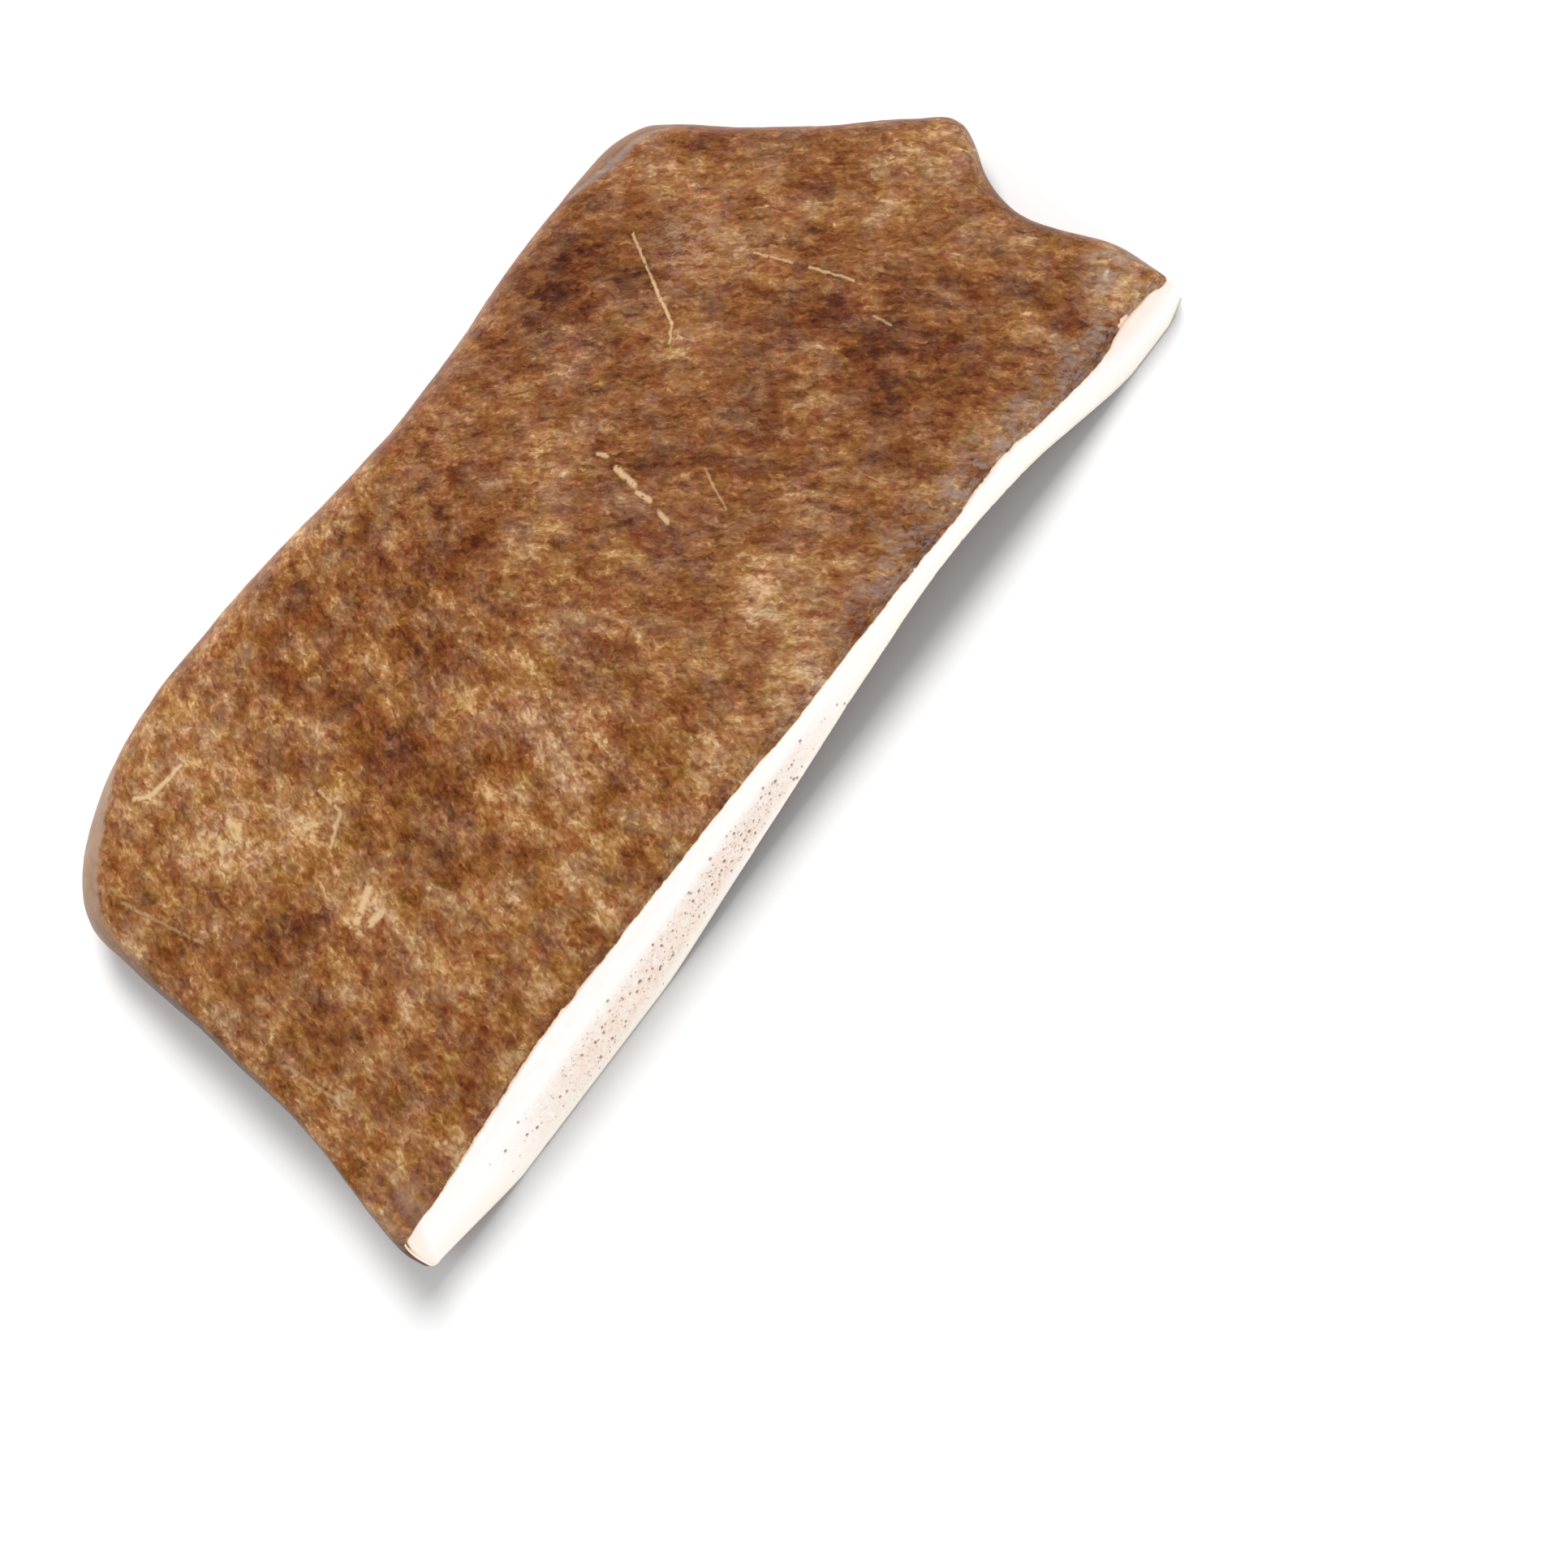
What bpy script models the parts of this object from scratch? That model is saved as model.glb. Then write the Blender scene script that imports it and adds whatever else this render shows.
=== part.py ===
"""A chew sawn from the palm of a fallow deer antler: one plate of antler in its bark, rounded on its
three natural sides and sawn flat along the fourth. It lies on its underside, as it would on a table.

X runs along the saw cut towards the tine, Y from the cut to the far edge, and Z up. The origin is
under the middle of the plate, on the surface that it rests on. Lengths in this file are in mm.
"""

import math

import bmesh
import bpy
import numpy as np

METRES_PER_MM = 0.001

# The natural edge seen from above, from the butt end of the saw cut round to its tine end.
# Each row is the place along the cut, the distance from it, how far in the rounding reaches, and
# how high the edge stands out most, as a share of the thickness. The edge starts and ends past the
# cut, because the blank is shaped whole and then sawn.
NATURAL_EDGE = (
    (-2.3, -12.0, 1.4, 0.16),
    (-1.9, -4.0, 1.4, 0.16),
    (-0.7, 4.0, 1.4, 0.2),
    (1.7, 15.5, 1.5, 0.25),
    (3.0, 29.0, 1.8, 0.3),
    (3.4, 43.0, 2.6, 0.35),
    (3.6, 54.0, 4.5, 0.35),
    (4.4, 61.1, 6.5, 0.35),
    (7.7, 66.0, 7.5, 0.35),
    (14.0, 70.0, 7.5, 0.35),
    (23.0, 73.2, 7.5, 0.35),
    (35.0, 74.9, 7.0, 0.4),
    (48.0, 74.6, 7.0, 0.4),
    (62.0, 73.2, 6.5, 0.45),
    (76.0, 71.6, 6.5, 0.45),
    (88.0, 70.9, 6.0, 0.45),
    (100.0, 71.3, 6.0, 0.45),
    (112.0, 72.0, 5.5, 0.4),
    (122.0, 71.9, 5.5, 0.4),
    (130.0, 71.1, 5.5, 0.4),
    (135.2, 68.6, 5.0, 0.4),
    (138.6, 64.0, 4.5, 0.4),
    (142.9, 56.1, 4.0, 0.45),
    (148.1, 48.1, 4.0, 0.5),
    (153.0, 41.8, 4.0, 0.5),
    (157.3, 36.4, 3.5, 0.5),
    (159.6, 33.3, 3.0, 0.5),
    (159.9, 30.9, 3.0, 0.5),
    (158.4, 27.8, 3.0, 0.5),
    (156.0, 24.2, 3.5, 0.5),
    (154.6, 20.6, 3.5, 0.5),
    (154.4, 16.6, 3.5, 0.5),
    (155.7, 11.6, 3.0, 0.55),
    (158.0, 5.0, 2.4, 0.6),
    (158.7, -2.0, 1.8, 0.6),
    (158.2, -12.0, 1.8, 0.6),
)
BEND_SPACING = 7.0  # extra columns of faces where the edge turns, as mm for each radian

# The plate along three lines beside the cut: x, height of its mid surface, half its thickness.
CUT_LINE = (
    (0.0, 7.5, 4.6),
    (16.0, 6.5, 6.5),
    (32.0, 7.0, 7.5),
    (48.0, 7.3, 6.9),
    (64.0, 8.2, 5.9),
    (80.0, 8.6, 4.4),
    (96.0, 9.3, 3.2),
    (112.0, 9.6, 2.4),
    (128.0, 8.2, 2.9),
    (144.0, 4.5, 3.6),
    (160.0, 3.6, 4.9),
)
MIDDLE_LINE = (
    (0.0, 6.9, 4.8),
    (30.0, 7.9, 7.2),
    (60.0, 9.0, 6.6),
    (90.0, 9.7, 5.2),
    (120.0, 9.1, 4.1),
    (160.0, 6.2, 3.4),
)
FAR_LINE = (
    (0.0, 6.6, 4.9),
    (30.0, 6.5, 6.5),
    (60.0, 6.2, 6.5),
    (90.0, 5.8, 5.9),
    (120.0, 5.7, 4.9),
    (160.0, 5.9, 3.6),
)
FIRST_LINE_Y = -4.0
LINE_SPACING = 32.0

SAW_LEAN = math.radians(20.0)  # the cut looks outwards and a little up
SAW_FOOT_Y = -6.3  # where the plane of the cut meets the surface under the plate
SANDED = 0.8  # radius that sanding leaves along the cut
SANDED_ROWS = (0.08, 0.35, 1.0)  # edge loops across that rounding, as shares of the radius

BLANK_SIDE_Y = -12.0
BLANK_SIDE_START = 24.0
BLANK_SIDE_END = 134.0
COLUMNS = 92
ROWS = 34
ROUNDED_ROWS = 0.28  # share of the rows that lie on the rounded edge
SPAN_STEPS = 24
CHORD = 24.0  # half the chord that gives the edge its inward direction

BARK_COLOUR = (0.26, 0.135, 0.06, 1.0)
BARK_ROUGHNESS = 0.5


def clear_scene():
    for old in list(bpy.data.objects):
        bpy.data.objects.remove(old, do_unlink=True)


def collection_named(name):
    made = bpy.data.collections.new(name)
    bpy.context.scene.collection.children.link(made)
    return made


def smooth_curve(rows, plan_columns):
    """Many rows on a smooth curve through the given ones. The first columns are its place."""
    rows = np.array(rows)
    spans = np.linalg.norm(np.diff(rows[:, :plan_columns], axis=0), axis=1)[:, None]
    slopes = np.vstack(
        (
            (rows[1] - rows[0]) / spans[0],
            (rows[2:] - rows[:-2]) / (spans[1:] + spans[:-1]),
            (rows[-1] - rows[-2]) / spans[-1],
        )
    )
    curve = []
    for share in np.linspace(0.0, 1.0, SPAN_STEPS, endpoint=False):
        rise = share * share * (3.0 - 2.0 * share)
        leave = share * (1.0 - share) ** 2 * spans
        arrive = share * share * (share - 1.0) * spans
        curve.append(
            rows[:-1] * (1.0 - rise) + rows[1:] * rise + slopes[:-1] * leave + slopes[1:] * arrive
        )
    curve = np.stack(curve, axis=1).reshape(-1, rows.shape[1])
    return np.vstack((curve, rows[-1]))


def lengths_along(curve):
    steps = np.linalg.norm(np.diff(curve[:, :2], axis=0), axis=1)
    return np.concatenate(([0.0], np.cumsum(steps)))


def plate_at(x, y):
    """Height of the mid surface and half the thickness, from a parabola across the three lines."""
    across = (y - FIRST_LINE_Y) / LINE_SPACING
    weights = (
        (1.0 - across) * (2.0 - across) / 2.0,
        across * (2.0 - across),
        across * (across - 1.0) / 2.0,
    )
    middle = np.zeros_like(x)
    half = np.zeros_like(x)
    for weight, line in zip(weights, (CUT_LINE, MIDDLE_LINE, FAR_LINE)):
        curve = smooth_curve(line, 1)
        middle += weight * np.interp(x, curve[:, 0], curve[:, 1])
        half += weight * np.interp(x, curve[:, 0], curve[:, 2])
    return middle, half


def edge_at(around):
    """Place, rounding reach, crest and inward direction on the natural edge, for shares of it."""
    curve = smooth_curve(NATURAL_EDGE, 2)
    length = lengths_along(curve)
    headings = np.unwrap(np.arctan2(*np.diff(curve[:, :2], axis=0).T[::-1]))
    turned = np.concatenate(([0.0, 0.0], np.cumsum(np.abs(np.diff(headings)))))
    measure = length + BEND_SPACING * turned
    s = np.interp(around * measure[-1], measure, length)

    def place(at):
        return np.stack([np.interp(at, length, curve[:, k]) for k in (0, 1)], axis=-1)

    chord = place(np.minimum(s + CHORD, length[-1])) - place(np.maximum(s - CHORD, 0.0))
    chord /= np.linalg.norm(chord, axis=-1, keepdims=True)
    inward = np.stack((chord[:, 1], -chord[:, 0]), axis=-1)
    reach, crest = (np.interp(s, length, curve[:, k]) for k in (2, 3))
    return place(s), reach, crest, inward


def skin_of_blank(around, across):
    """Points of the blank: around runs along the natural edge, and across from the side of the
    blank over the top, round the edge and back along the underside."""
    inland = np.abs(2.0 * across - 1.0)
    side = np.sign(0.5 - across)
    edge, reach, crest, inward = edge_at(around)
    foot_x = BLANK_SIDE_START + (BLANK_SIDE_END - BLANK_SIDE_START) * around
    foot = np.stack((foot_x, np.full_like(foot_x, BLANK_SIDE_Y)), axis=-1)
    width = np.linalg.norm(foot - edge, axis=-1)
    roll = np.minimum(inland / ROUNDED_ROWS, 1.0) * math.pi / 2.0
    flat = np.maximum(inland - ROUNDED_ROWS, 0.0) / (1.0 - ROUNDED_ROWS)
    share = ((reach * (1.0 - np.cos(roll)) + (width - reach) * flat) / width)[:, None]
    knee = edge + inward * width[:, None] / 2.0
    plan = (1.0 - share) ** 2 * edge + 2.0 * share * (1.0 - share) * knee + share**2 * foot
    middle, half = plate_at(plan[:, 0], plan[:, 1])
    rim = middle + half * (2.0 * crest - 1.0)
    height = rim + (middle + side * half - rim) * np.sin(roll)
    return np.column_stack((plan, np.maximum(height, 0.0)))


def blank():
    """The plate with its natural edge all round, open on the side that the saw takes off."""
    bm = bmesh.new()
    bmesh.ops.create_grid(bm, x_segments=COLUMNS, y_segments=ROWS, size=0.5)
    shares = np.array([vert.co.xy for vert in bm.verts]) + 0.5
    for vert, point in zip(bm.verts, skin_of_blank(shares[:, 0], shares[:, 1])):
        vert.co = point
    bmesh.ops.recalc_face_normals(bm, faces=bm.faces)
    return bm


def saw(bm):
    """Saws the blank along its open side, and rounds the sawn edge as sanding does."""
    outward = np.array((0.0, -math.cos(SAW_LEAN), math.sin(SAW_LEAN)))
    foot = np.array((0.0, SAW_FOOT_Y, 0.0))

    def cut(inset, clear):
        bmesh.ops.bisect_plane(
            bm,
            geom=bm.verts[:] + bm.edges[:] + bm.faces[:],
            dist=0.05,
            plane_co=foot - outward * inset,
            plane_no=outward,
            clear_outer=clear,
        )

    cut(0.0, True)
    for share in SANDED_ROWS:
        cut(SANDED * share, False)
    bm.normal_update()
    moved = {}
    for vert in bm.verts:
        inset = float(outward @ (foot - np.array(vert.co)))
        if inset < SANDED:
            depth = SANDED - math.sqrt(SANDED**2 - (SANDED - max(inset, 0.0)) ** 2)
            moved[vert] = vert.co - vert.normal * depth
    rim = {vert for edge in bm.edges if edge.is_boundary for vert in edge.verts}
    for vert, place in moved.items():
        if vert in rim:
            place = np.array(place)
            place += outward * (outward @ (foot - place))
        vert.co = place
    bmesh.ops.edgeloop_fill(bm, edges=[edge for edge in bm.edges if edge.is_boundary])
    bmesh.ops.triangulate(bm, faces=[face for face in bm.faces if len(face.verts) > 4])
    bmesh.ops.recalc_face_normals(bm, faces=bm.faces)


def centre(bm):
    """Puts the origin under the middle of the plate, and turns mm into metres."""
    places = np.array([vert.co for vert in bm.verts])
    middle = (places.min(axis=0) + places.max(axis=0)) / 2.0
    bmesh.ops.translate(bm, verts=bm.verts, vec=(-middle[0], -middle[1], -places[:, 2].min()))
    bmesh.ops.scale(bm, verts=bm.verts, vec=(METRES_PER_MM,) * 3)


def bark_material():
    made = bpy.data.materials.new("antler_bark")
    made.use_nodes = True
    shader = made.node_tree.nodes["Principled BSDF"]
    shader.inputs["Base Color"].default_value = BARK_COLOUR
    shader.inputs["Roughness"].default_value = BARK_ROUGHNESS
    shader.inputs["Metallic"].default_value = 0.0
    return made


def antler_palm(into):
    bm = blank()
    saw(bm)
    centre(bm)
    mesh = bpy.data.meshes.new("antler_palm")
    bm.to_mesh(mesh)
    bm.free()
    mesh.shade_smooth()
    mesh.set_sharp_from_angle(angle=math.radians(40.0))
    mesh.materials.append(bark_material())
    palm = bpy.data.objects.new("antler_palm", mesh)
    into.objects.link(palm)


clear_scene()
antler_palm(collection_named("fallow_deer_antler_chew"))
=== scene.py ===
"""The looks of a chew sawn from the palm of a fallow deer antler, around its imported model.

The frame is in metres. The antler's own sizes here are in mm, as are the places of its markings,
which are counted from the origin of the frame.
"""

import math

import bmesh
import bpy
import numpy as np
from mathutils import Matrix, Vector, kdtree, noise


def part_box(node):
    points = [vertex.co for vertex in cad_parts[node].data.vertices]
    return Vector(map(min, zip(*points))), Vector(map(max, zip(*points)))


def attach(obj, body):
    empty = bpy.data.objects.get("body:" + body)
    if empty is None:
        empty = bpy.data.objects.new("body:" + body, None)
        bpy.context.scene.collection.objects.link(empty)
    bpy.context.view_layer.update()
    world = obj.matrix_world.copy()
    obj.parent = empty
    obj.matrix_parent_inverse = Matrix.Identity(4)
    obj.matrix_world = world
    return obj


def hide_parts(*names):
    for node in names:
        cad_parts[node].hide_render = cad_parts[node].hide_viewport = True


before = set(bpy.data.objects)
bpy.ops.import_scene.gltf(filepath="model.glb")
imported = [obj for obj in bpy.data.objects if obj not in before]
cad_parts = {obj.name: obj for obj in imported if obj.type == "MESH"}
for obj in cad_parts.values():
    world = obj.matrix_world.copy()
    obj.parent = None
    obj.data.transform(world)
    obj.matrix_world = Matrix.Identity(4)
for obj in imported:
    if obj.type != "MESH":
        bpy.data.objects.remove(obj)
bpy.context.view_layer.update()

# The camera looks down on the plate with the saw cut to its lower right, and leans a little
# towards the cut, so that a strip of bone shows along it.

LOOK_AT = Vector((-0.0028, -0.0384, 0.006))
CAMERA_DISTANCE = 0.48
CAMERA_LEAN = math.radians(17.0)
CAMERA_ROLL = math.radians(52.75)  # how far the cut is turned from level in the picture
VIEW_WIDTH = 0.203  # what the square picture spans at that distance

camera_data = bpy.data.cameras.new("camera")
camera_data.sensor_width = 36.0
camera_data.lens = camera_data.sensor_width * CAMERA_DISTANCE / VIEW_WIDTH
camera = bpy.data.objects.new("camera", camera_data)
bpy.context.scene.collection.objects.link(camera)
camera.matrix_world = (
    Matrix.Translation(LOOK_AT)
    @ Matrix.Rotation(CAMERA_LEAN, 4, "X")
    @ Matrix.Rotation(-CAMERA_ROLL, 4, "Z")
    @ Matrix.Translation((0.0, 0.0, CAMERA_DISTANCE))
)
bpy.context.scene.camera = camera

# A matt white table top. It isn't part of the antler.

FLOOR_SIZE = 4.0
FLOOR_DROP = 0.0001  # keeps the table from showing through the flats that the plate rests on

floor_mesh = bpy.data.meshes.new("table_top")
bm = bmesh.new()
bmesh.ops.create_grid(bm, x_segments=1, y_segments=1, size=FLOOR_SIZE / 2.0)
bmesh.ops.translate(bm, verts=bm.verts, vec=(0.0, 0.0, -FLOOR_DROP))
bm.to_mesh(floor_mesh)
bm.free()
floor = bpy.data.objects.new("table_top", floor_mesh)
bpy.context.scene.collection.objects.link(floor)
matt_white = bpy.data.materials.new("matt_white")
matt_white.use_nodes = True
matt_white.node_tree.nodes["Principled BSDF"].inputs["Base Color"].default_value = (0.9, 0.9, 0.9, 1.0)
matt_white.node_tree.nodes["Principled BSDF"].inputs["Roughness"].default_value = 0.9
floor_mesh.materials.append(matt_white)

# Studio light in a white room: a high soft box, which casts the shadow, a low one that faces the
# rounded edges on the left of the picture, and a low one that faces the saw cut.

ROOM_LIGHT = 0.36


def soft_box(name, place, size, watts):
    """A square of light that faces the plate. It isn't mirrored in the bark."""
    data = bpy.data.lights.new(name, "AREA")
    data.energy = watts
    data.size = size
    box = bpy.data.objects.new(name, data)
    bpy.context.scene.collection.objects.link(box)
    box.visible_camera = False
    box.visible_glossy = False
    turn = place.to_track_quat("Z", "Y").to_matrix().to_4x4()
    box.matrix_world = Matrix.Translation(place) @ turn


world = bpy.data.worlds.new("white_room")
world.use_nodes = True
world.node_tree.nodes["Background"].inputs["Color"].default_value = (1.0, 1.0, 1.0, 1.0)
world.node_tree.nodes["Background"].inputs["Strength"].default_value = ROOM_LIGHT
bpy.context.scene.world = world
bpy.context.scene.view_settings.view_transform = "Standard"
soft_box("soft_box_high", Vector((0.43, 0.42, 0.8)), size=0.42, watts=10.2)
soft_box("soft_box_left", Vector((-0.65, 0.75, 0.35)), size=0.9, watts=5.0)
soft_box("soft_box_cut", Vector((-0.1, -1.16, 0.18)), size=0.3, watts=7.6)

# The plate of antler, which grew as one piece: dark bark over dense white bone, and pores in its
# core. It was sawn flat along one side, and sanding took the sharp edge off the cut.

# The natural edge seen from above, from the butt end of the cut round to its tine end: the place
# along the cut, the distance from it, how far in the rounding reaches, and how high the edge stands
# out most, as a share of the thickness.
NATURAL_EDGE = (
    (-2.3, -12.0, 1.4, 0.16),
    (-1.9, -4.0, 1.4, 0.16),
    (-0.7, 4.0, 1.4, 0.2),
    (1.7, 15.5, 1.5, 0.25),
    (3.0, 29.0, 1.8, 0.3),
    (3.4, 43.0, 2.6, 0.35),
    (3.6, 54.0, 4.5, 0.35),
    (4.4, 61.1, 6.5, 0.35),
    (7.7, 66.0, 7.5, 0.35),
    (14.0, 70.0, 7.5, 0.35),
    (23.0, 73.2, 7.5, 0.35),
    (35.0, 74.9, 7.0, 0.4),
    (48.0, 74.6, 7.0, 0.4),
    (62.0, 73.2, 6.5, 0.45),
    (76.0, 71.6, 6.5, 0.45),
    (88.0, 70.9, 6.0, 0.45),
    (100.0, 71.3, 6.0, 0.45),
    (112.0, 72.0, 5.5, 0.4),
    (122.0, 71.9, 5.5, 0.4),
    (130.0, 71.1, 5.5, 0.4),
    (135.2, 68.6, 5.0, 0.4),
    (138.6, 64.0, 4.5, 0.4),
    (142.9, 56.1, 4.0, 0.45),
    (148.1, 48.1, 4.0, 0.5),
    (153.0, 41.8, 4.0, 0.5),
    (157.3, 36.4, 3.5, 0.5),
    (159.6, 33.3, 3.0, 0.5),
    (159.9, 30.9, 3.0, 0.5),
    (158.4, 27.8, 3.0, 0.5),
    (156.0, 24.2, 3.5, 0.5),
    (154.6, 20.6, 3.5, 0.5),
    (154.4, 16.6, 3.5, 0.5),
    (155.7, 11.6, 3.0, 0.55),
    (158.0, 5.0, 2.4, 0.6),
    (158.7, -2.0, 1.8, 0.6),
    (158.2, -12.0, 1.8, 0.6),
)
BEND_SPACING = 7.0  # extra columns of faces where the edge turns, as mm for each radian

# The plate along three lines: beside the cut, along its middle and beside the far edge. Each row
# has the place along the cut, the height of the mid surface and half the thickness.
CUT_LINE = (
    (0.0, 7.5, 4.6),
    (16.0, 6.5, 6.5),
    (32.0, 7.0, 7.5),
    (48.0, 7.3, 6.9),
    (64.0, 8.2, 5.9),
    (80.0, 8.6, 4.4),
    (96.0, 9.3, 3.2),
    (112.0, 9.6, 2.4),
    (128.0, 8.2, 2.9),
    (144.0, 4.5, 3.6),
    (160.0, 3.6, 4.9),
)
MIDDLE_LINE = (
    (0.0, 6.9, 4.8),
    (30.0, 7.9, 7.2),
    (60.0, 9.0, 6.6),
    (90.0, 9.7, 5.2),
    (120.0, 9.1, 4.1),
    (160.0, 6.2, 3.4),
)
FAR_LINE = (
    (0.0, 6.6, 4.9),
    (30.0, 6.5, 6.5),
    (60.0, 6.2, 6.5),
    (90.0, 5.8, 5.9),
    (120.0, 5.7, 4.9),
    (160.0, 5.9, 3.6),
)
FIRST_LINE_Y = -4.0
LINE_SPACING = 32.0

# The blank is the plate before it is sawn. Its straight side lies beyond the cut.
BLANK_SIDE_Y = -12.0
BLANK_SIDE_START = 24.0
BLANK_SIDE_END = 134.0
COLUMNS = 300  # of faces, along the natural edge
ROWS = 210  # of faces, from the blank's side over the top, round the edge and back
TOP_ROWS = 2.0 / 3.0  # share of the rows that lie on the upper side
ROUNDED_ROWS = 0.15  # share of the rows of each side that go to the rounded edge
SPAN_STEPS = 24  # points on each span of a smooth curve
CHORD = 24.0  # mm to either side over which the edge's direction is taken

SAW_LEAN = math.radians(20.0)
SAW_FOOT_Y = -6.3
SNAP = 0.03  # a point this close to a slicing plane counts as on it
# How far in the sanding reaches at the cut's upper edge, its lower edge and its two ends.
SANDED_ABOVE = 1.35
SANDED_BELOW = 0.3
SANDED_ENDS = 0.9
SANDED_ROWS = (0.04, 0.1, 0.2, 0.34, 0.52, 0.75, 1.05, 1.4)  # mm behind the cut


def smooth_curve(rows, plan_columns):
    """Many rows on a smooth curve through the given ones. The first columns are its place."""
    rows = np.array(rows)
    spans = np.linalg.norm(np.diff(rows[:, :plan_columns], axis=0), axis=1)[:, None]
    slopes = np.vstack(
        (
            (rows[1] - rows[0]) / spans[0],
            (rows[2:] - rows[:-2]) / (spans[1:] + spans[:-1]),
            (rows[-1] - rows[-2]) / spans[-1],
        )
    )
    curve = []
    for share in np.linspace(0.0, 1.0, SPAN_STEPS, endpoint=False):
        rise = share * share * (3.0 - 2.0 * share)
        leave = share * (1.0 - share) ** 2 * spans
        arrive = share * share * (share - 1.0) * spans
        curve.append(
            rows[:-1] * (1.0 - rise) + rows[1:] * rise + slopes[:-1] * leave + slopes[1:] * arrive
        )
    curve = np.stack(curve, axis=1).reshape(-1, rows.shape[1])
    return np.vstack((curve, rows[-1]))


def plate_at(x, y):
    """Height of the mid surface and half the thickness, from a parabola across the three lines."""
    across = (y - FIRST_LINE_Y) / LINE_SPACING
    weights = (
        (1.0 - across) * (2.0 - across) / 2.0,
        across * (2.0 - across),
        across * (across - 1.0) / 2.0,
    )
    middle = np.zeros_like(x)
    half = np.zeros_like(x)
    for weight, line in zip(weights, (CUT_LINE, MIDDLE_LINE, FAR_LINE)):
        curve = smooth_curve(line, 1)
        middle += weight * np.interp(x, curve[:, 0], curve[:, 1])
        half += weight * np.interp(x, curve[:, 0], curve[:, 2])
    return middle, half


def edge_at(around):
    """Place, rounding reach, crest and inward direction on the natural edge, for shares of it."""
    curve = smooth_curve(NATURAL_EDGE, 2)
    steps = np.linalg.norm(np.diff(curve[:, :2], axis=0), axis=1)
    length = np.concatenate(([0.0], np.cumsum(steps)))
    headings = np.unwrap(np.arctan2(*np.diff(curve[:, :2], axis=0).T[::-1]))
    turned = np.concatenate(([0.0, 0.0], np.cumsum(np.abs(np.diff(headings)))))
    measure = length + BEND_SPACING * turned
    along = np.interp(around * measure[-1], measure, length)

    def place(at):
        return np.stack([np.interp(at, length, curve[:, column]) for column in (0, 1)], axis=-1)

    chord = place(np.minimum(along + CHORD, length[-1])) - place(np.maximum(along - CHORD, 0.0))
    chord /= np.linalg.norm(chord, axis=-1, keepdims=True)
    inward = np.stack((chord[:, 1], -chord[:, 0]), axis=-1)
    reach, crest = (np.interp(along, length, curve[:, column]) for column in (2, 3))
    return place(along), reach, crest, inward


def skin_of_blank(around, across):
    """Points of the blank: around runs along the natural edge, and across from the side of the
    blank over the top, round the edge and back along the underside."""
    inland = np.abs(2.0 * across - 1.0)
    side = np.sign(0.5 - across)
    edge, reach, crest, inward = edge_at(around)
    straight_x = BLANK_SIDE_START + (BLANK_SIDE_END - BLANK_SIDE_START) * around
    straight = np.stack((straight_x, np.full_like(straight_x, BLANK_SIDE_Y)), axis=-1)
    width = np.linalg.norm(straight - edge, axis=-1)
    roll = np.minimum(inland / ROUNDED_ROWS, 1.0) * math.pi / 2.0
    flat = np.maximum(inland - ROUNDED_ROWS, 0.0) / (1.0 - ROUNDED_ROWS)
    share = ((reach * (1.0 - np.cos(roll)) + (width - reach) * flat) / width)[:, None]
    knee = edge + inward * width[:, None] / 2.0
    plan = (1.0 - share) ** 2 * edge + 2.0 * share * (1.0 - share) * knee + share**2 * straight
    middle, half = plate_at(plan[:, 0], plan[:, 1])
    rim = middle + half * (2.0 * crest - 1.0)
    height = rim + (middle + side * half - rim) * np.sin(roll)
    return np.column_stack((plan, np.maximum(height, 0.0)))


def places_of(bm):
    return np.array([vert.co for vert in bm.verts])


def slice_along(bm, faces, place, across, clear=False):
    """Slices these faces by a plane, and returns those of the pieces that lie beyond it."""
    if not faces:
        return []
    edges = {edge for face in faces for edge in face.edges}
    verts = {vert for face in faces for vert in face.verts}
    made = bmesh.ops.bisect_plane(
        bm,
        geom=[*verts, *edges, *faces],
        dist=SNAP,
        plane_co=place,
        plane_no=across,
        clear_outer=clear,
    )
    pieces = [part for part in made["geom"] if isinstance(part, bmesh.types.BMFace)]
    return [face for face in pieces if (face.calc_center_median() - place).dot(across) > 0.0]


bm = bmesh.new()
turned_down = bm.verts.layers.float.new("turned_down")  # 0 where the plate is level, 1 at its sides
sawn = bm.faces.layers.int.new("sawn")
bmesh.ops.create_grid(bm, x_segments=COLUMNS, y_segments=ROWS, size=0.5)
shares = places_of(bm)[:, :2] + 0.5
shares[:, 1] = np.interp(shares[:, 1], (0.0, TOP_ROWS, 1.0), (0.0, 0.5, 1.0))
for vert, point in zip(bm.verts, skin_of_blank(shares[:, 0], shares[:, 1])):
    vert.co = point
bmesh.ops.recalc_face_normals(bm, faces=bm.faces)
bm.normal_update()
for vert in bm.verts:
    vert[turned_down] = 1.0 - abs(vert.normal.z)

outward = Vector((0.0, -math.cos(SAW_LEAN), math.sin(SAW_LEAN)))
up_the_cut = Vector((0.0, math.sin(SAW_LEAN), math.cos(SAW_LEAN)))
foot = Vector((0.0, SAW_FOOT_Y, 0.0))
slice_along(bm, bm.faces[:], foot, outward, clear=True)
for row in SANDED_ROWS:
    slice_along(bm, bm.faces[:], foot - outward * row, outward)

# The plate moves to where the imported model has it. From here on mm are counted from the frame's
# origin.
low, high = (np.array(corner) * 1000.0 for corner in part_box("antler_palm"))
places = places_of(bm)
shift = (low + high - places.min(axis=0) - places.max(axis=0)) / 2.0
shift[2] = low[2] - places[:, 2].min()
bmesh.ops.translate(bm, verts=bm.verts, vec=shift)
foot += Vector(shift)

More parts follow.
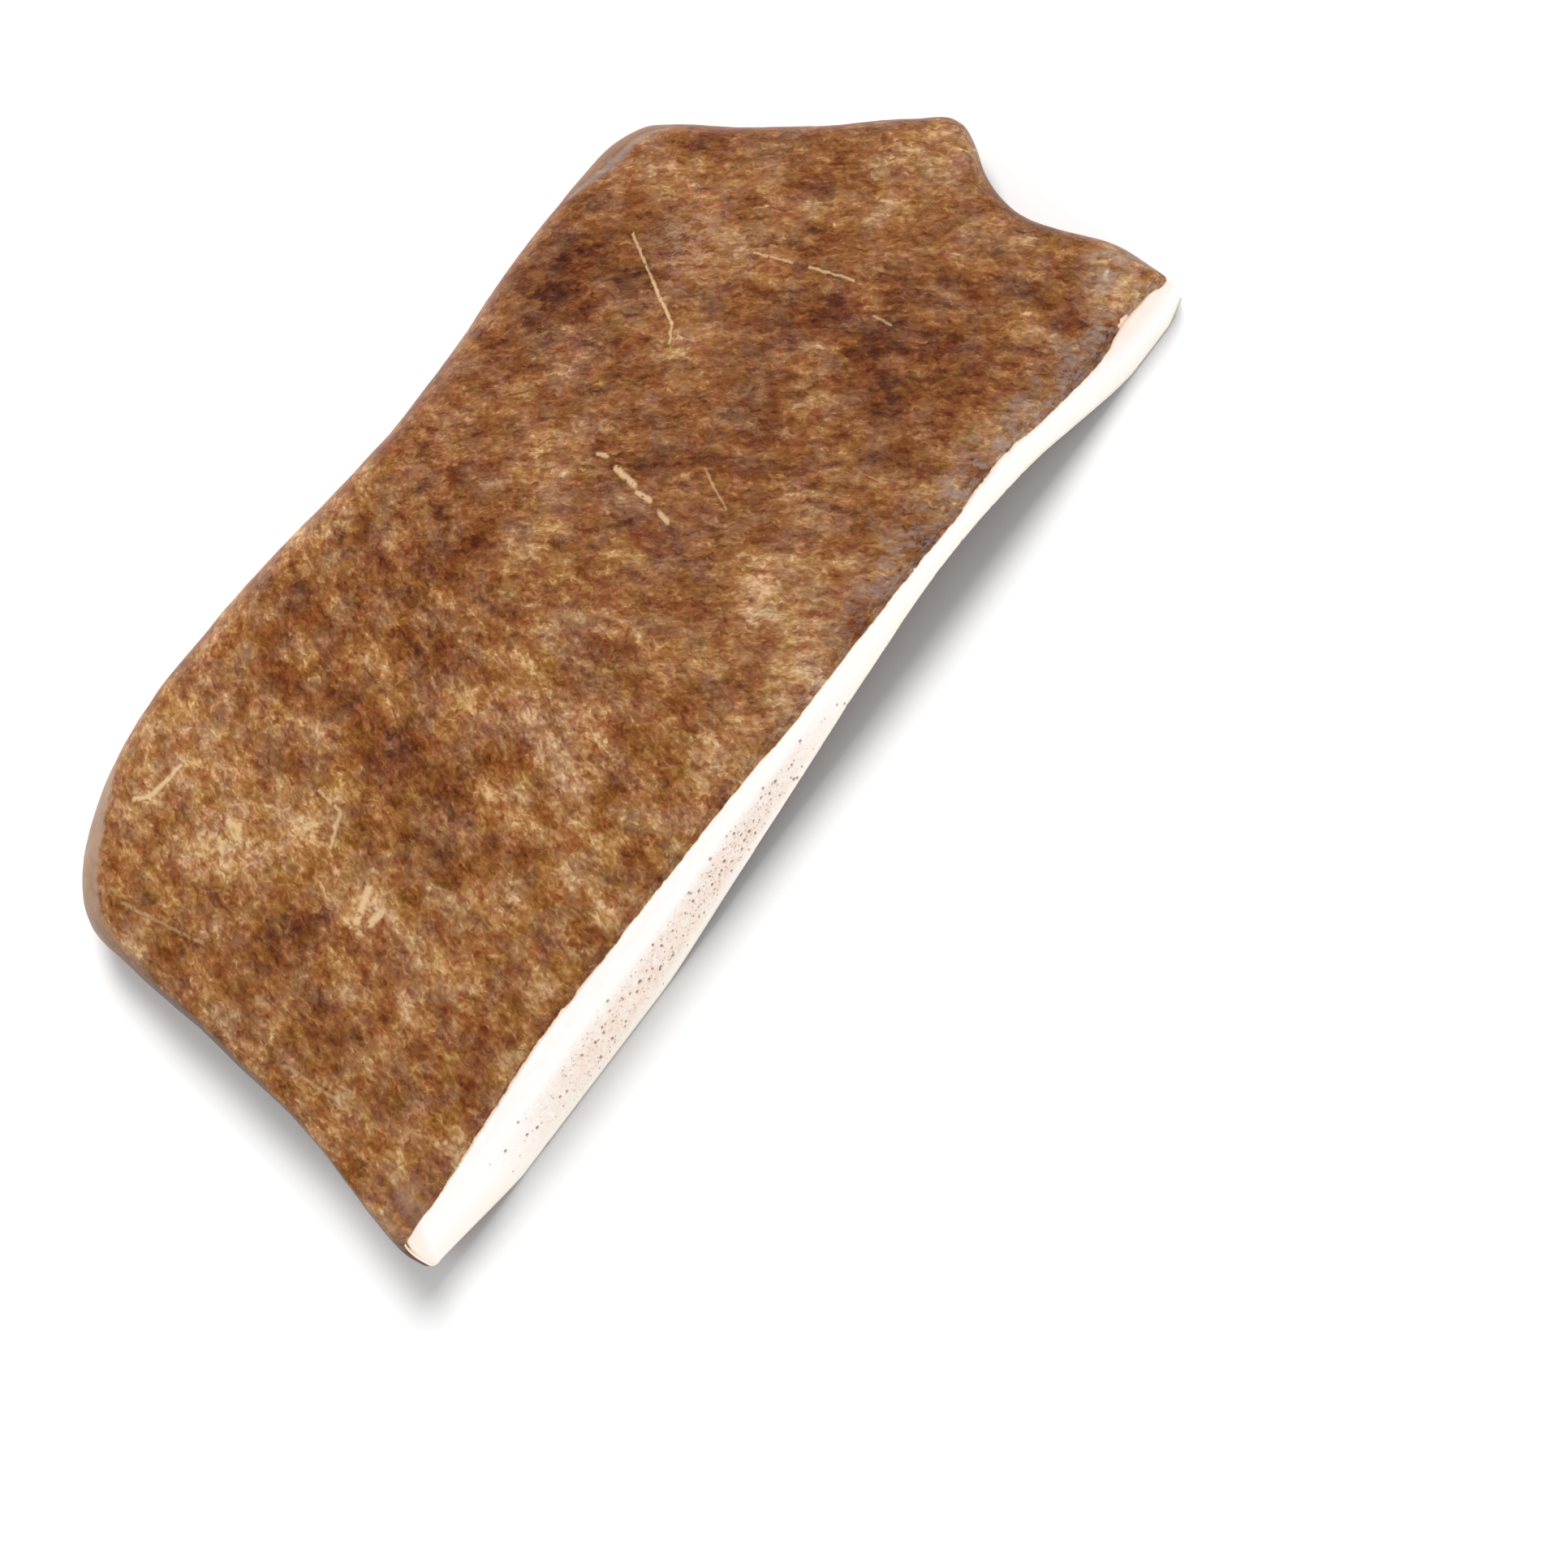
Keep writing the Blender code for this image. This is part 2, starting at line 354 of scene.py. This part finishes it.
# Low relief in the bark: broad swells and shallow dimples. It fades out on the worn flats
# underneath.
SWELL = (17.0, 0.3)  # spacing and height
DIMPLE = (2.8, 0.06)
WORN_FLAT = 1.5  # height over the table where the relief is whole
SANDING_CHANGE = (12.0, 0.25)  # spacing and share by which the rounding changes along the cut


def eased(value, start, end):
    share = np.clip((value - start) / (end - start), 0.0, 1.0)
    return share * share * (3.0 - 2.0 * share)


def rough(place, spacing, octaves=3):
    return noise.fractal(Vector(place) / spacing, 0.9, 2.0, octaves)


def relief(place):
    height = SWELL[1] * rough(place, SWELL[0]) + DIMPLE[1] * rough(place, DIMPLE[0], 2)
    return height * min(place.z / WORN_FLAT, 1.0)


bm.normal_update()
targets = {}
for vert in bm.verts:
    behind = max(outward.dot(foot - vert.co), 0.0)
    radius = SANDED_BELOW + (SANDED_ABOVE - SANDED_BELOW) * max(vert.normal.z, 0.0)
    radius += (SANDED_ENDS - SANDED_BELOW) * abs(vert.normal.x)
    radius *= 1.0 + SANDING_CHANGE[1] * rough((vert.co.x, 0.0, 0.0), SANDING_CHANGE[0])
    worn = 0.0
    if behind < radius:
        worn = radius - math.sqrt(radius**2 - (radius - behind) ** 2)
    targets[vert] = vert.co + vert.normal * (relief(vert.co) - worn)
sawn_rim = {vert for edge in bm.edges if edge.is_boundary for vert in edge.verts}
for vert, target in targets.items():
    if vert in sawn_rim:
        target = target + outward * outward.dot(foot - target)
    vert.co = (target.x, target.y, max(target.z, 0.0))

# The cut is filled with one face, which is then sliced into a grid fine enough for its pores.
CORE_START = -68.0
CORE_END = 14.0
BUTT_PITCH = 0.3
CORE_PITCH = 0.18
TINE_PITCH = 0.45

cut_faces = bmesh.ops.edgeloop_fill(bm, edges=[edge for edge in bm.edges if edge.is_boundary])["faces"]
cut_faces[0][sawn] = 1
for height in np.arange(CORE_PITCH, high[2] / up_the_cut.z, CORE_PITCH):
    cut_faces = slice_along(bm, cut_faces, foot + up_the_cut * height, up_the_cut)
cut_faces = [face for face in bm.faces if face[sawn]]
stations = np.concatenate(
    (
        np.arange(low[0] + BUTT_PITCH, CORE_START, BUTT_PITCH),
        np.arange(CORE_START, CORE_END, CORE_PITCH),
        np.arange(CORE_END, high[0], TINE_PITCH),
    )
)
for station in stations:
    cut_faces = slice_along(bm, cut_faces, Vector((station, 0.0, 0.0)), Vector((1.0, 0.0, 0.0)))
bmesh.ops.triangulate(bm, faces=[face for face in bm.faces if len(face.verts) > 4])
bmesh.ops.recalc_face_normals(bm, faces=bm.faces)

# How much of the porous core shows in the cut, from 0 in dense bone to 1.
CORE_RISE = 24.0  # mm along the cut in which it starts and ends
CORE_LOWER = (0.02, 0.2)  # shares of the thickness between which it begins
CORE_UPPER = (0.4, 0.64)


def share_up(x, y, z):
    """Height as a share of the plate's thickness there."""
    middle, half = plate_at(x - shift[0], y - shift[1])
    return (z - middle + half) / (2.0 * half)


def core_at(x, up):
    started = eased(x, CORE_START, CORE_START + CORE_RISE)
    ended = eased(x, CORE_END - CORE_RISE, CORE_END)
    return started * (1.0 - ended) * eased(up, *CORE_LOWER) * (1.0 - eased(up, *CORE_UPPER))


# Pores in the core: real pits, where the smallest ones are only in the material.
PORE_TRIES = 900
PORE_RADIUS = (0.1, 0.32)
PORE_DEPTH = 1.1  # for a radius of 1
PORE_LINE_Y = SAW_FOOT_Y + 2.0  # where the thickness is read that the pores are spread over
ON_CUT = 0.02  # a point this close behind the cut's plane is on the cut

chance = np.random.default_rng(11)
pores = []
for _ in range(PORE_TRIES):
    share, up, size, luck = chance.uniform(size=4)
    pore_x = CORE_START + (CORE_END - CORE_START) * share
    radius = PORE_RADIUS[0] + (PORE_RADIUS[1] - PORE_RADIUS[0]) * size**3.0
    if luck < core_at(pore_x, up):
        middle, half = plate_at(np.array([pore_x - shift[0]]), np.array([PORE_LINE_Y]))
        pore_z = float(middle[0] + half[0] * (2.0 * up - 1.0))
        pores.append((pore_x, pore_z / up_the_cut.z, radius))

points = places_of(bm)
inset = (np.array(foot) - points) @ np.array(outward)
on_cut = inset < ON_CUT

# How far each point of the cut lies from its edge, and below 0 for points on the bark.
cut_edges = [edge for edge in bm.edges if sum(face[sawn] for face in edge.link_faces) == 1]
edge_tree = kdtree.KDTree(len(cut_edges))
for index, edge in enumerate(cut_edges):
    edge_tree.insert(edge.verts[0].co, index)
edge_tree.balance()
into_bone = -inset
for index in np.flatnonzero(on_cut):
    into_bone[index] = edge_tree.find(points[index])[2]

up_cut = (points - np.array(foot)) @ np.array(up_the_cut)
pore = np.zeros(len(points))
for pore_x, pore_up, radius in pores:
    near = on_cut & (np.abs(points[:, 0] - pore_x) < radius)
    squared = (points[near, 0] - pore_x) ** 2 + (up_cut[near] - pore_up) ** 2
    share = np.maximum(1.0 - squared / radius**2, 0.0)
    pore[near] = np.maximum(pore[near], share)
    points[near] -= np.outer(share * radius * PORE_DEPTH, np.array(outward))

# The lower corner at the tine end is worn round.
WORN_CORNER = (80.0, -40.6, 0.0)
WORN_REACH = 5.0
WORN_SHIFT = (0.8, 1.3, 0.0)
CORE_DEPTH = 0.6  # how far behind the cut the core's colour may show

from_corner = np.linalg.norm(points - np.array(WORN_CORNER), axis=1)
points += np.outer(1.0 - eased(from_corner, 0.0, WORN_REACH), WORN_SHIFT)
up_shares = share_up(*points.T)
core = core_at(points[:, 0], up_shares) * (inset < CORE_DEPTH)

# Broad patches of lighter and darker bark: place, radius and how much lighter.
PATCHES = (
    (-50.0, 28.0, 8.0, 0.2),
    (-52.0, 14.0, 9.0, 0.2),
    (-48.0, 1.0, 7.0, 0.17),
    (-47.0, -6.0, 5.0, 0.08),
    (-53.0, -20.0, 9.0, 0.08),
    (10.0, 9.0, 7.0, 0.1),
    (-9.0, -4.0, 8.0, 0.08),
    (-23.0, -13.0, 6.0, 0.14),
    (-34.0, -24.0, 7.0, 0.1),
    (15.0, -23.0, 5.0, 0.36),
    (12.0, -32.0, 6.0, 0.14),
    (1.0, -33.0, 7.0, 0.14),
    (52.0, 20.0, 9.0, 0.08),
    (67.0, -3.0, 10.0, 0.1),
    (78.0, -5.0, 6.0, 0.16),
    (74.0, -37.0, 6.0, 0.14),
    (48.0, -36.0, 6.0, 0.12),
    (33.0, 26.0, 9.0, -0.3),
    (49.0, -15.0, 10.0, -0.22),
    (51.0, -25.0, 5.0, -0.14),
    (53.0, 0.0, 7.0, -0.08),
    (23.0, -2.0, 7.0, -0.14),
    (-4.0, 16.0, 7.0, -0.14),
    (-15.0, 14.0, 7.0, -0.1),
    (-26.0, 23.0, 9.0, -0.12),
    (-29.0, 7.0, 6.0, -0.16),
    (-31.0, -1.0, 7.0, -0.2),
    (-34.0, -10.0, 6.0, -0.14),
    (-57.0, 0.0, 5.0, -0.26),
    (-50.0, -31.0, 6.0, -0.14),
    (-65.0, 11.0, 6.0, -0.06),
)
PATCHES_ABOVE = 4.0  # they lie on the upper face alone, over this height

patch = np.zeros(len(points))
for patch_x, patch_y, radius, lighter in PATCHES:
    squared = ((points[:, 0] - patch_x) ** 2 + (points[:, 1] - patch_y) ** 2) / radius**2
    patch += lighter * np.exp(-squared) * (points[:, 2] > PATCHES_ABOVE)

for vert, point in zip(bm.verts, points / 1000.0):
    vert.co = point
palm_mesh = bpy.data.meshes.new("antler_palm_surface")
bm.to_mesh(palm_mesh)
bm.free()
palm_mesh.shade_smooth()
looks = {"pore": pore, "core": core, "up": up_shares, "patch": patch, "into_bone": into_bone}
for name, values in looks.items():
    attribute = palm_mesh.attributes.new(name, "FLOAT", "POINT")
    attribute.data.foreach_set("value", values.astype(np.float32))
palm = bpy.data.objects.new("antler_palm_surface", palm_mesh)
bpy.context.scene.collection.objects.link(palm)


class Wire:
    """A socket in a material. Arithmetic on it adds Math nodes, and node() adds any other."""

    def __init__(self, tree, socket=None):
        self.tree = tree
        self.socket = socket

    def node(self, kind, settings, sockets, output=0):
        made = self.tree.nodes.new(kind)
        for name, value in settings.items():
            if name == "stops":
                ramp = made.color_ramp.elements
                while len(ramp) < len(value):
                    ramp.new(1.0)
                for stop, (position, tint) in zip(ramp, value):
                    stop.position = position
                    stop.color = tint
            else:
                setattr(made, name, value)
        for name, value in sockets.items():
            if isinstance(value, Wire):
                self.tree.links.new(value.socket, made.inputs[name])
            else:
                made.inputs[name].default_value = value
        return Wire(self.tree, made.outputs[output])

    def other(self, output):
        """Another output of the node that this one comes from."""
        return Wire(self.tree, self.socket.node.outputs[output])

    def math(self, operation, *values, clamp=False):
        settings = {"operation": operation, "use_clamp": clamp}
        return self.node("ShaderNodeMath", settings, dict(enumerate(values)))

    def vector(self, operation, *values, output=0):
        sockets = dict(enumerate((self, *values)))
        return self.node("ShaderNodeVectorMath", {"operation": operation}, sockets, output)

    def __add__(self, other):
        return self.math("ADD", self, other)

    def __sub__(self, other):
        return self.math("SUBTRACT", self, other)

    def __rsub__(self, other):
        return self.math("SUBTRACT", other, self)

    def __mul__(self, other):
        return self.math("MULTIPLY", self, other)

    def __truediv__(self, other):
        return self.math("DIVIDE", self, other)

    __radd__ = __add__
    __rmul__ = __mul__

    def most(self, other):
        return self.math("MAXIMUM", self, other)

    def clamped(self):
        return self.math("ADD", self, 0.0, clamp=True)

    def eased(self, start, end):
        """0 up to start, 1 from end on, and smooth between them."""
        sockets = {"Value": self, "From Min": start, "From Max": end}
        return self.node("ShaderNodeMapRange", {"interpolation_type": "SMOOTHSTEP"}, sockets)

    def faded(self, start, end):
        return 1.0 - self.eased(start, end)

    def blend(self, first, second):
        """The first colour where this is 0 and the second where it is 1."""
        return self.node("ShaderNodeMix", {"data_type": "RGBA"}, {0: self, 6: first, 7: second}, 2)

    def ramp(self, stops):
        return self.node("ShaderNodeValToRGB", {"stops": stops}, {0: self})

    def mottle(self, spacing, octaves, gain, output=0):
        """Cloudy noise about 0.5, with blots some way apart and finer ones in them."""
        sockets = {"Vector": self, "Scale": 1.0 / spacing, "Detail": octaves, "Roughness": gain}
        return self.node("ShaderNodeTexNoise", {}, sockets, output)

    def drift(self, spacing, reach):
        """A small noisy step to the side, flat on the plate."""
        step = self.mottle(spacing, 2.0, 0.6, output=1).vector("SUBTRACT", (0.5, 0.5, 0.5))
        return step.vector("MULTIPLY", (reach, reach, 0.0))

    def moved(self, step_x, step_y):
        """A place some way off, so that one pattern doesn't follow another."""
        return self.vector("ADD", (step_x, step_y, 0.0))

    def stretched(self, turn, stretch):
        """The same place for a pattern that is drawn out along a direction."""
        sockets = {"Vector": self, "Rotation": (0.0, 0.0, turn), "Scale": (stretch, 1.0, 1.0)}
        return self.node("ShaderNodeMapping", {"vector_type": "TEXTURE"}, sockets)


def colour(red, green, blue):
    """A colour as a picture holds it, from 0 to 255, in the linear values that shaders take."""
    screen = np.array((red, green, blue)) / 255.0
    linear = np.where(screen <= 0.04045, screen / 12.92, ((screen + 0.055) / 1.055) ** 2.4)
    return (*(float(value) for value in linear), 1.0)


antler = bpy.data.materials.new("antler")
antler.use_nodes = True
shader = antler.node_tree.nodes["Principled BSDF"]
fresh = Wire(antler.node_tree)  # for nodes that follow from no other
place = fresh.node("ShaderNodeTexCoord", {}, {}, "Object").vector("MULTIPLY", (1000.0, 1000.0, 1000.0))
x = place.node("ShaderNodeSeparateXYZ", {}, {"Vector": place})
y = x.other("Y")
z = x.other("Z")
flat_place = place.vector("MULTIPLY", (1.0, 1.0, 0.0))
behind_cut = float(outward.dot(foot)) - place.vector("DOT_PRODUCT", tuple(outward), output=1)


def stored(name):
    return fresh.node("ShaderNodeAttribute", {"attribute_name": name}, {}, "Fac")


# Bark: blots near the butt end, which are drawn out into streaks towards the tine end.
BROWNS = (
    (0.0, colour(72, 33, 10)),
    (0.2, colour(97, 52, 23)),
    (0.36, colour(115, 69, 34)),
    (0.5, colour(131, 84, 46)),
    (0.64, colour(148, 102, 60)),
    (0.8, colour(172, 130, 86)),
    (1.0, colour(206, 170, 126)),
)
BARK_TONE = 0.565  # how far up the browns the bark lies
BLOT_STRENGTH = 2.2
PATCH_STRENGTH = 0.8
FLECK_STRENGTH = 0.13
GROOVE_STRENGTH = 0.14
CLEAN_BARK = colour(248, 248, 248)  # what the browns are multiplied by
UMBER_STAIN = colour(191, 173, 171)
STREAK_TURN = math.radians(-54.0)
BLOT_TURN = math.radians(78.0)

flowing = place.vector("ADD", place.drift(1.8, 1.3))
streaked = flowing.stretched(STREAK_TURN, 2.1)
lying = flowing.stretched(BLOT_TURN, 1.55)
streaky = x.eased(-30.0, 20.0) * 0.8
evened = 1.0 + streaky * (1.0 - streaky) * 2.2  # two noises that are averaged vary less than one


def two_ways(spacing, octaves, gain, streak_spacing, step_x=0.0, step_y=0.0):
    """Noise about 0, as blots near the butt end and as streaks towards the tine end."""
    plain = lying.moved(step_x, step_y).mottle(spacing, octaves, gain)
    drawn = streaked.moved(step_x, step_y).mottle(streak_spacing, octaves, gain)
    return ((plain - 0.5) * (1.0 - streaky) + (drawn - 0.5) * streaky) * evened


blot = two_ways(6.0, 4.0, 0.95, 4.6)
light_fleck = two_ways(0.9, 2.0, 0.7, 0.7, 71.0, 5.0).eased(0.09, 0.15)
dark_fleck = two_ways(1.3, 2.0, 0.7, 1.0, 13.0, 90.0).eased(0.07, 0.12)
# Thin pale threads run where a noise passes through its middle.
wave = two_ways(2.2, 2.0, 0.6, 1.4, 25.0, 64.0)
thread = wave.math("ABSOLUTE", wave).faded(0.0, 0.014)
thread = thread * flowing.moved(9.0, 44.0).mottle(3.0, 2.0, 0.6).eased(0.5, 0.6)
groove = flowing.stretched(STREAK_TURN, 5.0).mottle(0.9, 2.0, 0.6).eased(0.53, 0.66) * streaky
tone = BARK_TONE - streaky * 0.07 + blot * (BLOT_STRENGTH - streaky * 0.6)
tone = tone + stored("patch") * PATCH_STRENGTH
tone = tone + (light_fleck - dark_fleck + thread) * FLECK_STRENGTH - groove * GROOVE_STRENGTH
hue = 0.5 + (flowing.moved(17.0, 50.0).mottle(3.4, 4.0, 0.8) - 0.53) * 0.07
greyed = flowing.moved(60.0, 70.0).mottle(4.5, 4.0, 0.7).eased(0.4, 0.7)
saturation = 1.05 - greyed * 0.15 - streaky * 0.05
tinted = {"Hue": hue, "Saturation": saturation, "Color": tone.ramp(BROWNS)}
bark = fresh.node("ShaderNodeHueSaturation", {}, tinted)
umber = (two_ways(3.6, 5.0, 0.75, 2.6, 31.0, 7.0) - stored("patch") * 0.35).eased(0.05, 0.2)
bark = bark.vector("MULTIPLY", umber.blend(CLEAN_BARK, UMBER_STAIN))

# The sides of the plate that turn down. At two corners the bark there is a dull taupe: rubbed bark
# with a painted grazing reflection of the white room in it. A ridge has a painted highlight, and the
# butt end painted shade.
DEEP_TAUPE = colour(143, 114, 92)
PALE_TAUPE = colour(156, 129, 108)
BROWN_TAUPE = colour(124, 92, 72)
PAINTED_RIDGE_HIGHLIGHT = colour(136, 127, 122)
PAINTED_SHADE_DARKENING = (0.25, 0.24, 0.22)

side = stored("turned_down")
taupe_mottle = place.mottle(3.0, 4.0, 0.75)
ragged = (taupe_mottle - 0.5) * side * 1.2


def side_near(edge_x, edge_y, reach):
    """How far the surface turns down, less away from a place on the edge."""
    distance = flat_place.vector("DISTANCE", (edge_x, edge_y, 0.0), output=1) / reach
    return side - distance * distance * 0.5


# Taupe near the butt end: rubbed bark with a painted grazing reflection.
butt_side = side_near(-67.0, 29.0, 22.0) + ragged
butt_side = butt_side.eased(0.07, 0.09 + side * 0.25) * y.eased(18.0, 25.0)
bark = (butt_side * 0.9).blend(bark, taupe_mottle.eased(0.35, 0.65).blend(DEEP_TAUPE, PALE_TAUPE))
# Taupe near the tine end: rubbed bark with a painted grazing reflection.
tine_side = side_near(50.0, 33.0, 12.0)
bark = ((tine_side + ragged).eased(0.1, 0.14 + side * 0.25) * 0.75).blend(bark, BROWN_TAUPE)
# Painted highlight: a grey line along the ridge above the tine-end side.
painted_ridge_highlight = tine_side.eased(-0.02, 0.05) * tine_side.faded(0.07, 0.15) * side.faded(0.2, 0.35)
bark = (painted_ridge_highlight * 0.6).blend(bark, PAINTED_RIDGE_HIGHLIGHT)
# Painted shade: the side along the butt end is darkened in the colour.
painted_butt_end_shade = side.eased(0.3, 0.8) * x.faded(-76.0, -70.0) * y.faded(18.0, 25.0)
bark = (painted_butt_end_shade * 0.92).blend(bark, bark.vector("MULTIPLY", PAINTED_SHADE_DARKENING))

# Scratches and rubbed lines: where each starts and ends, its width and how pale it is.
MARKS = (
    ((43.3, 23.2), (39.6, 16.3), 0.3, 0.6),
    ((39.6, 16.3), (36.4, 10.1), 0.36, 0.8),
    ((36.4, 10.1), (34.2, 8.7), 0.3, 0.6),
    ((50.5, 7.3), (52.2, 2.2), 0.28, 0.55),
    ((53.1, -0.2), (55.0, -6.2), 0.28, 0.6),
    ((52.7, -11.6), (53.1, -14.1), 0.3, 0.45),
    ((23.6, -6.4), (20.9, -12.2), 0.25, 0.4),
    ((-56.8, 30.4), (-54.7, 28.6), 0.55, 0.85),
    ((-54.7, 28.6), (-49.4, 27.9), 0.5, 0.85),
    ((-75.6, 10.2), (-75.0, 9.0), 0.5, 0.8),
    ((17.0, 6.8), (17.3, 5.6), 0.5, 0.7),
    ((16.8, 3.4), (16.4, -0.1), 0.65, 0.8),
    ((15.9, -1.0), (16.0, -3.2), 0.55, 0.8),
    ((15.5, -5.2), (15.1, -6.9), 0.5, 0.7),
    ((-68.5, 22.7), (-65.8, 10.0), 0.35, 0.28),
    ((-71.2, -9.7), (-70.2, -18.5), 0.4, 0.28),
    ((-40.3, 8.9), (-40.7, 4.7), 0.4, 0.6),
    ((-40.7, 4.7), (-45.2, 2.8), 0.4, 0.6),
    ((-46.2, -5.0), (-50.5, -6.3), 0.8, 0.9),
    ((-47.6, -8.4), (-49.6, -8.0), 0.8, 0.9),
    ((74.6, -32.2), (75.2, -32.0), 0.4, 0.9),
)
SCRATCHED = colour(206, 174, 132)
PAINTED_HIGHLIGHT_TAN = colour(170, 142, 122)

traced = flat_place.vector("ADD", place.drift(1.2, 0.7))
marks = None
for begin, end, width, pale in MARKS:
    first = Vector((*begin, 0.0))
    run = Vector((*end, 0.0)) - first
    along = traced.vector("DOT_PRODUCT", tuple(run / run.length_squared), output=1)
    along = along.math("SUBTRACT", along, float(first.dot(run) / run.length_squared), clamp=True)
    on_line = {"X": along * run.x + first.x, "Y": along * run.y + first.y}
    distance = fresh.node("ShaderNodeCombineXYZ", {}, on_line).vector("DISTANCE", traced, output=1)
    mark = distance.faded(width * 0.25, width) * pale
    marks = marks.most(mark) if marks else mark
on_top = side.faded(0.3, 0.5) * z.eased(6.0, 7.0)
broken = place.moved(5.0, 88.0).mottle(0.9, 2.0, 0.6).eased(0.28, 0.42)
bark = (marks * on_top * broken).blend(bark, SCRATCHED)


def spot(spot_x, spot_y, radius):
    """1 at a place on the plate, seen from above, and 0 from the given distance on."""
    distance = flat_place.vector("DISTANCE", (spot_x, spot_y, 0.0), output=1)
    return distance.faded(radius * 0.35, radius)


# Painted highlight: a soft pale sheen in streaks on one spot of the upper face.
painted_highlight = spot(46.8, 15.3, 7.0) * streaked.mottle(0.8, 3.0, 0.8).eased(0.45, 0.62)
bark = (painted_highlight * 0.45).blend(bark, PAINTED_HIGHLIGHT_TAN)

# Bark polished by handling: a glossy coat in patches close to the cut, with a grey-violet sheen
# painted into their colour, and a greyer tint in patches at the butt corner.
PAINTED_SHEEN_GREY = colour(152, 138, 132)
CORNER_GREY = colour(163, 138, 124)

near_cut = behind_cut.faded(1.0, 6.0) * x.eased(-10.0, 45.0)
gloss_and_painted_sheen = (near_cut + spot(76.0, -33.0, 6.0)).clamped()
gloss_and_painted_sheen = gloss_and_painted_sheen * streaked.mottle(1.8, 4.0, 0.85).eased(0.44, 0.62)
# Painted sheen: grey-violet mixed into the bark's colour in those patches.
bark = (gloss_and_painted_sheen * 0.55).blend(bark, PAINTED_SHEEN_GREY)
butt_corner = spot(-77.0, -34.0, 8.0) * place.mottle(2.2, 3.0, 0.7).eased(0.35, 0.65)
bark = (butt_corner * 0.35).blend(bark, CORNER_GREY)

# Where the bone ends and the bark begins: a ripple along the cut's upper edge, with bone laid bare
# in a few places and round the worn corner, and bark that laps over the edge at the tine end. From
# that line, past counts mm into the bone.
up_share = stored("up")
ripple = fresh.node("ShaderNodeCombineXYZ", {}, {"X": x, "Y": 3.0}).mottle(2.2, 3.0, 0.6) - 0.4
bared = spot(-52.0, -38.0, 26.0) * 0.4 + spot(46.0, -38.0, 9.0) * 0.5
bared = bared + x.eased(65.0, 71.2) * (0.65 - (x - 71.2).most(0.0) * 0.11)
overlap = 0.03 + ripple.most(0.0) * 0.8 + x.eased(76.0, 80.5) * 2.2 - bared
worn_corner = x.eased(77.0, 78.5) * y.faded(-36.0, -33.5) * up_share.faded(0.6, 0.85)
worn_corner = worn_corner * (1.2 + place.mottle(1.8, 3.0, 0.7) * 3.4)
past = stored("into_bone") - overlap * up_share.eased(0.6, 0.8) + worn_corner
is_bark = past.faded(-0.04, 0.04)

# Bone: dense and white, with a faint blush under the bark and at both ends, and a browner core
# with pores, whose dark colour is painted shade in the holes.
LOWER_BONE = colour(242, 236, 227)
UPPER_BONE = colour(243, 240, 237)
BLUSH = colour(243, 224, 214)
CORE_BONE = colour(231, 211, 196)
CORE_GRAIN = colour(206, 176, 160)
PAINTED_SMALL_PORE_SHADE = colour(160, 128, 118)
PAINTED_DEEP_PORE_SHADE = colour(124, 92, 86)
STAINED_RIM = colour(232, 196, 152)

bone = up_share.eased(0.05, 0.45).blend(LOWER_BONE, UPPER_BONE)
blush = up_share.eased(0.6, 0.86) * place.mottle(2.0, 3.0, 0.7).eased(0.34, 0.6)
blush = blush * (0.6 + x.eased(15.0, 50.0) * 0.6)
pink_ends = (x + 80.2 - up_share * 4.4).faded(-0.7, 0.9)
pink_ends = pink_ends + x.eased(60.0, 72.0) * up_share.eased(0.35, 0.75)
bone = (blush * 0.5 + pink_ends * 0.8).clamped().blend(bone, BLUSH)
core_share = stored("core")
porous = core_share * (0.72 + (place.mottle(1.6, 4.0, 0.8) - 0.5) * 2.0)
bone = porous.clamped().blend(bone, CORE_BONE)
grain = place.mottle(0.5, 2.0, 0.7).eased(0.5, 0.66) * core_share
bone = (grain * 0.45).blend(bone, CORE_GRAIN)
# The smallest pores: dark dots of painted shade in the colour alone.
dots = place.node("ShaderNodeTexVoronoi", {}, {"Vector": place, "Scale": 1.9, "Randomness": 1.0})
dot_luck = fresh.node("ShaderNodeSeparateColor", {}, {0: dots.other("Color")})
dot = dots.faded(0.08, 0.34) * dot_luck.eased(0.35, 0.9) * core_share
bone = (dot * 0.75).blend(bone, PAINTED_SMALL_PORE_SHADE)
# Painted shade in the real pits.
pit = stored("pore").eased(0.1, 0.5)
bone = (pit * 0.7).blend(bone, PAINTED_DEEP_PORE_SHADE)
rim = past.faded(0.05, 0.38) * up_share.eased(0.4, 0.6)
bone = (rim * 0.7).blend(bone, STAINED_RIM)

BARK_BUMP = 0.08
DOT_BUMP = 0.1
BARK_ROUGHNESS = 0.42
BONE_ROUGHNESS = 0.55

bump_height = place.mottle(1.2, 3.0, 0.6) * is_bark * BARK_BUMP - dot * DOT_BUMP
bump = {"Strength": 1.0, "Distance": 0.001, "Height": bump_height}
roughness = is_bark * (BARK_ROUGHNESS + (tone - 0.5) * 0.2) + (1.0 - is_bark) * BONE_ROUGHNESS
wires = {
    "Base Color": is_bark.blend(bone, bark),
    "Roughness": roughness,
    "Coat Weight": gloss_and_painted_sheen * is_bark * 0.4,
    "Normal": fresh.node("ShaderNodeBump", {}, bump),
}
for name, wire in wires.items():
    antler.node_tree.links.new(wire.socket, shader.inputs[name])
shader.inputs["Specular IOR Level"].default_value = 0.22
shader.inputs["Coat Roughness"].default_value = 0.25
palm_mesh.materials.append(antler)

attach(palm, "root")
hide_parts("antler_palm")
